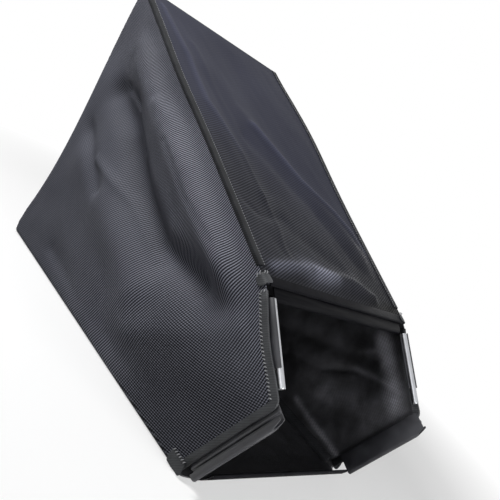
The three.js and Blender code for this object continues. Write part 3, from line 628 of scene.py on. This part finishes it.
grey_tape = woven_tape("grey_tape", (0.022, 0.023, 0.025, 1), (0.070, 0.073, 0.078, 1), 0.25)
black_tape = woven_tape("black_tape", (0.003, 0.003, 0.004, 1), (0.026, 0.027, 0.030, 1), 0.10)
tape_edge = 0.0003
black_nodes = ["rear_bottom_seam_tape", "rear_top_seam_tape"]
for word in ("left", "right"):
    black_nodes += [
        f"top_{word}_seam_band", f"bottom_{word}_seam_tape", f"rear_{word}_seam_tape",
    ]
    binding = smooth_copy(f"{word}_mouth_binding", f"{word}_binding_tape", grey_tape)
for node in black_nodes:
    smooth_copy(node, f"{node}_sewn", black_tape, tape_edge)

# Corner tabs and patches
# Scraps of the grey tape, folded over the mouth's top corners and laid over the binding's
# lower ends. They are limp, so their corners are round and their faces uneven.


def limp_copy(node, name, seed):
    """A packed scrap of tape with its corners drawn round and its faces pushed in and out."""
    lump = 0.0009
    lumps_per_metre = 160
    piece = merged_copy(node, name)
    piece.data.materials.append(grey_tape)
    bpy.ops.object.mode_set(mode="EDIT")
    bpy.ops.mesh.select_all(action="SELECT")
    bpy.ops.mesh.subdivide(number_cuts=3)
    bpy.ops.mesh.vertices_smooth(factor=0.5, repeat=5)
    bpy.ops.object.mode_set(mode="OBJECT")
    places = points_of(piece)
    normals = np.array([vertex.normal[:] for vertex in piece.data.vertices])
    start = Vector((seed, 0, 0))
    lumps = [noise.noise(Vector(place) * lumps_per_metre + start) for place in places]
    put_points(piece, places + normals * np.array(lumps)[:, None] * lump)
    bpy.ops.object.shade_smooth()
    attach(piece, "root")
    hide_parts(node)


for word, seed in (("left", 1.0), ("right", 5.0)):
    limp_copy(f"{word}_top_corner_tab", f"{word}_tab_scrap", seed)
    limp_copy(f"{word}_corner_patch", f"{word}_patch_scrap", seed + 2)

# Stitches
# Grey bonded polyester thread: slanted whip stitches over the binding's inner edge, the tabs
# and the patches, and a row of lock stitches along the far edge of each seam band.
thread = new_material("thread", 0.5, sheen=0.2)
thread_place = add_node(thread, "ShaderNodeTexCoord").outputs["Object"]
twist = add_node(
    thread, "ShaderNodeTexWave", {"Vector": thread_place, "Scale": 900.0},
    bands_direction="DIAGONAL",
).outputs["Fac"]
thread_dark = (0.110, 0.113, 0.120, 1)
thread_light = (0.340, 0.345, 0.360, 1)
set_shader(
    thread, Base_Color=ramp_node(thread, twist, [(0.2, thread_dark), (0.9, thread_light)]),
    Normal=relief_node(thread, twist, strength=0.4, distance=0.0002),
)
lock_pitch, lock_length, lock_width = 0.0040, 0.0026, 0.0008
whip_pitch, whip_length, whip_width = 0.0046, 0.0062, 0.0017


def stitch_model(length, width):
    """One loop of thread, arched along X with its ends drawn down into the cloth."""
    lift = 0.4
    bpy.ops.object.select_all(action="DESELECT")
    bpy.ops.mesh.primitive_uv_sphere_add(segments=6, ring_count=6, radius=0.5)
    piece = bpy.context.object
    bpy.ops.object.mode_set(mode="EDIT")
    bpy.ops.transform.rotate(
        value=math.pi / 2, orient_axis="Y", center_override=(0, 0, 0), orient_type="GLOBAL"
    )
    bpy.ops.transform.resize(value=(length, width, width))
    bpy.ops.object.mode_set(mode="OBJECT")
    places = points_of(piece)
    places[:, 2] += width * (lift - (2 * np.abs(places[:, 0]) / length) ** 2)
    put_points(piece, places)
    return piece


def sewn_row(name, model, stitches):
    """Copies of one stitch, each at its place, along its run and arched outwards."""
    only_selected(model)
    model.select_set(False)
    copies = []
    for place, run, out in stitches:
        beside = out.cross(run).normalized()
        run = beside.cross(out).normalized()
        turn = Matrix((run, beside, out.normalized())).transposed().to_4x4()
        one = bpy.data.objects.new(name, model.data.copy())
        one.data.transform(Matrix.Translation(place) @ turn)
        bpy.context.collection.objects.link(one)
        one.select_set(True)
        copies.append(one)
    bpy.context.view_layer.objects.active = copies[0]
    bpy.ops.object.join()
    row = bpy.context.object
    row.data.materials.append(thread)
    bpy.ops.object.shade_smooth()
    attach(row, "root")


def spaced(path, pitch):
    """Places along a path at an even pitch, each with the path's direction there."""
    found, left = [], pitch / 2
    for start, end in zip(path, path[1:]):
        run = end - start
        while left < run.length:
            found.append((start + run.normalized() * left, run.normalized()))
            left += pitch
        left -= run.length
    return found


def outer_edge(node, outward):
    """Points round the face of a packed tape that looks outward, in order."""
    shape = bmesh.new()
    shape.from_mesh(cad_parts[node].data)
    bmesh.ops.remove_doubles(shape, verts=shape.verts, dist=merge_distance)
    shape.normal_update()
    facing = 0.97
    faces = {face for face in shape.faces if face.normal.dot(outward) > facing}
    rim = [edge for edge in shape.edges if len(faces.intersection(edge.link_faces)) == 1]
    rim.sort(key=lambda edge: edge.verts[0].co.dot(outward), reverse=True)
    chain = [rim[0].verts[0], rim[0].verts[1]]
    rim.remove(rim[0])
    while True:
        following = [edge for edge in rim if chain[-1] in edge.verts]
        if not following:
            break
        chain.append(following[0].other_vert(chain[-1]))
        rim.remove(following[0])
    points = [vertex.co.copy() for vertex in chain[:-1]]
    shape.free()
    return points


def inner_half(outline):
    """The edge of a binding that lies away from the tape's fold, from its top end down."""
    top = max(range(len(outline)), key=lambda number: outline[number].z)
    loop = outline[top:] + outline[:top]
    if loop[1].y < loop[-1].y:
        loop = loop[:1] + loop[:0:-1]
    return loop[1:len(loop) // 2 + 1]


def whips(path, out):
    """Whip stitches along an edge, each laid over it on the slant."""
    slant = math.radians(58)
    return [
        (place, run * math.cos(slant) + out.cross(run) * math.sin(slant), out)
        for place, run in spaced(path, whip_pitch)
    ]


def on_bag(x, profile):
    return Vector((x, seam_front + profile.x, profile.y))


lock_stitch = stitch_model(lock_length, lock_width)
whip_stitch = stitch_model(whip_length, whip_width)
whip_end = 0.150
tab_length = 0.016
tab_rise = 0.0028
tab_reach = 0.013
stitch_inset = 0.0020
slope_normal = Vector((-slope_run.y, slope_run.x))
tab_back = slope_start + slope_run * tab_length + slope_normal * tab_rise
for word, side in (("left", -1), ("right", 1)):
    outward = Vector((side, 0, 0))
    edge = inner_half(outer_edge(f"{word}_mouth_binding", outward))
    whipped = whips([point for point in edge if point.z > whip_end], outward)

    tab_low, tab_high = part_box(f"{word}_top_corner_tab")
    tab_x = tab_high.x if side > 0 else tab_low.x
    corner = on_bag(tab_x, tab_back)
    inner_x = tab_x - side * tab_reach
    tab_edge = [on_bag(tab_x - side * stitch_inset, tab_back), on_bag(inner_x, tab_back)]
    whipped += whips(tab_edge, top_outward)
    tab_edge = [corner - top_outward * stitch_inset, corner - top_outward * tab_reach]
    whipped += whips(tab_edge, outward)

    patch_low, patch_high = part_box(f"{word}_corner_patch")
    patch_x = patch_high.x if side > 0 else patch_low.x
    front, back = patch_low.y + stitch_inset, patch_high.y - stitch_inset
    high = patch_high.z - stitch_inset / 2
    whipped += whips([Vector((patch_x, front, high)), Vector((patch_x, back, high))], outward)
    sewn_row(f"{word}_whip_stitches", whip_stitch, whipped)

    rim = outer_edge(f"top_{word}_seam_band", top_outward)
    rim.sort(key=lambda point: (round(point.y, 4), abs(point.x - middle_x)))
    far_edge = [point + outward * stitch_inset / 2 for point in rim[::2]]
    locked = [(place, run, top_outward) for place, run in spaced(far_edge, lock_pitch)]
    sewn_row(f"{word}_lock_stitches", lock_stitch, locked)

bpy.data.objects.remove(lock_stitch)
bpy.data.objects.remove(whip_stitch)

# Hems
# The top panel's front edge and the end of the floor's lip are each bound by a strip of thin
# black cloth, folded over them and sewn down.
black_hem = woven_tape("black_hem", (0.003, 0.003, 0.004, 1), (0.012, 0.012, 0.014, 1), 0.03)
smooth_copy("top_hem", "top_hem_strip", black_hem, tape_edge)
smooth_copy("bottom_hem", "lip_hem_strip", black_hem, tape_edge)

# Lower hook channels and the channel across the top
# Extruded from satin black plastic that has greyed a little in the light, with the fine
# lines of the die along them. Each is sewn on by a flat strip behind the binding.
plastic = new_material("satin_plastic", 0.42)
plastic_place = add_node(plastic, "ShaderNodeTexCoord").outputs["Object"]
plastic_cloud = noise_node(plastic, plastic_place, scale=35.0, detail=5.0)
plastic_grain = noise_node(plastic, plastic_place, scale=700.0, detail=2.0)
plastic_dark = (0.014, 0.014, 0.017, 1)
plastic_grey = (0.036, 0.037, 0.043, 1)
set_shader(
    plastic, Base_Color=ramp_node(plastic, plastic_cloud, [(0.3, plastic_dark), (0.7, plastic_grey)]),
    Normal=relief_node(plastic, plastic_grain, strength=0.2, distance=0.0002),
    Roughness=range_node(plastic, plastic_cloud, low=0.3, high=0.7, to_low=0.34, to_high=0.52),
)
channel_edge = 0.0003
channel_turn = 35
for node in ("left_lower_channel", "right_lower_channel"):
    moulding = smooth_copy(node, f"{node}_moulding", plastic, channel_edge, channel_turn)

# The channel across the top is of the same extrusion, streaked along it; its much darker copy of the
# colour is painted shade, where it lies under the hem.
shaded_plastic = new_material("shaded_black_plastic", 0.5, specular=0.05)
shaded_place = add_node(shaded_plastic, "ShaderNodeTexCoord").outputs["Object"]
shaded_drawn = add_node(
    shaded_plastic, "ShaderNodeMapping", {"Vector": shaded_place, "Scale": (0.08, 1.0, 1.0)}
).outputs[0]
shaded_streaks = noise_node(shaded_plastic, shaded_drawn, scale=260.0, detail=4.0)
shaded_dark = (0.001, 0.001, 0.002, 1)
shaded_light = (0.007, 0.007, 0.008, 1)
set_shader(
    shaded_plastic, Base_Color=ramp_node(shaded_plastic, shaded_streaks, [(0.35, shaded_dark), (0.7, shaded_light)]),
    Normal=relief_node(shaded_plastic, shaded_streaks, strength=0.3, distance=0.0003),
)
moulding = smooth_copy(
    "top_channel", "top_channel_moulding", shaded_plastic, channel_edge, channel_turn
)

# Rods in their clips
# Straight steel rods, plated with bright zinc. Each is pushed into a long C-shaped clip of the
# channels' plastic, whose flange is sewn in under the binding along the mouth's slope.
for word in ("left", "right"):
    clip_name = f"{word}_clip_moulding"
    clip = smooth_copy(f"{word}_rod_clip", clip_name, plastic, channel_edge, channel_turn)

zinc = new_material("bright_zinc", 0.26, metallic=1.0)
zinc_place = add_node(zinc, "ShaderNodeTexCoord").outputs["Object"]
zinc_cloud = noise_node(zinc, zinc_place, scale=70.0, detail=3.0)
zinc_dull = (0.42, 0.43, 0.45, 1)
zinc_bright = (0.50, 0.51, 0.53, 1)
set_shader(
    zinc, Base_Color=ramp_node(zinc, zinc_cloud, [(0.3, zinc_dull), (0.7, zinc_bright)]),
    Roughness=range_node(zinc, zinc_cloud, low=0.3, high=0.7, to_low=0.28, to_high=0.34),
)
rod_edge = 0.0002
rod_turn = 30
for word in ("left", "right"):
    rod = smooth_copy(f"{word}_rod", f"{word}_rod_steel", zinc, rod_edge, rod_turn)

# Floor and light
# A white floor that keeps the bag's shadow, soft lamps and a dim surround. The key lamp stands
# to the left and above, so each fold is light on its upper flank and dark below. The others
# fill the mouth and the two sides.
floor_size = 12.0
floor_drop = 0.0002
bpy.ops.mesh.primitive_plane_add(size=floor_size, location=(0, 0, -floor_drop))
ground = bpy.context.object
ground.name = "ground"
paper = bpy.data.materials.new("paper")
paper.use_nodes = True
paper.node_tree.nodes.clear()
paper_place = add_node(paper, "ShaderNodeNewGeometry").outputs["Position"]
away = add_node(paper, "ShaderNodeVectorMath", {0: paper_place}, operation="LENGTH").outputs["Value"]
fade_start, fade_end = 0.40, 0.85
fade = range_node(paper, away, fade_start, fade_end, 0.0, 1.0)


def seen_rays(material):
    """Rays that show the background, and the camera's own rays by themselves."""
    rays = add_node(material, "ShaderNodeLightPath").outputs
    seen = math_node(material, "MAXIMUM", rays["Is Camera Ray"], rays["Is Glossy Ray"])
    return math_node(material, "MAXIMUM", seen, rays["Is Transmission Ray"]), rays["Is Camera Ray"]


shown, to_camera = seen_rays(paper)
bounce_level, shown_level = 0.12, 0.93
shade = range_node(paper, shown, 0.0, 1.0, bounce_level, shown_level)
matt = add_node(paper, "ShaderNodeBsdfDiffuse", {"Color": shade}).outputs[0]
glow = add_node(paper, "ShaderNodeEmission", {"Color": white, "Strength": 1.0}).outputs[0]
least_glow = 0.45
glowing = math_node(paper, "MULTIPLY", to_camera, math_node(paper, "MAXIMUM", fade, least_glow))
mixed = add_node(paper, "ShaderNodeMixShader", {0: glowing, 1: matt, 2: glow}).outputs[0]
add_node(paper, "ShaderNodeOutputMaterial", {"Surface": mixed})
ground.data.materials.append(paper)
ground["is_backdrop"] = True

world = bpy.data.worlds.new("surround")
bpy.context.scene.world = world
world.use_nodes = True
world.node_tree.nodes.clear()
surround_light = 0.10
level = range_node(world, seen_rays(world)[0], 0.0, 1.0, surround_light, 1.0)
sky = add_node(world, "ShaderNodeBackground", {"Color": white, "Strength": level}).outputs[0]
add_node(world, "ShaderNodeOutputWorld", {"Surface": sky})


def lamp(name, toward, distance, width, power):
    """A square lamp that looks at the bag's middle from a direction."""
    bag_middle = Vector((0, 0, 0.2))
    data = bpy.data.lights.new(name, "AREA")
    data.size = width
    data.energy = power
    made = bpy.data.objects.new(name, data)
    direction = Vector(toward).normalized()
    made.location = bag_middle + direction * distance
    made.rotation_mode = "QUATERNION"
    made.rotation_quaternion = (-direction).to_track_quat("-Z", "Y")
    bpy.context.collection.objects.link(made)


lamp("key", (-0.58, 0.42, 0.74), 1.3, 0.4, 18)
lamp("before_mouth", (-0.09, -1.0, 0.06), 1.15, 0.4, 9)
lamp("beside_camera", (-0.90, -0.45, 0.32), 2.0, 0.8, 3)
lamp("far_side", (0.92, 0.40, 0.02), 1.8, 1.0, 7)

bpy.context.scene.view_settings.view_transform = "Standard"
low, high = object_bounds()
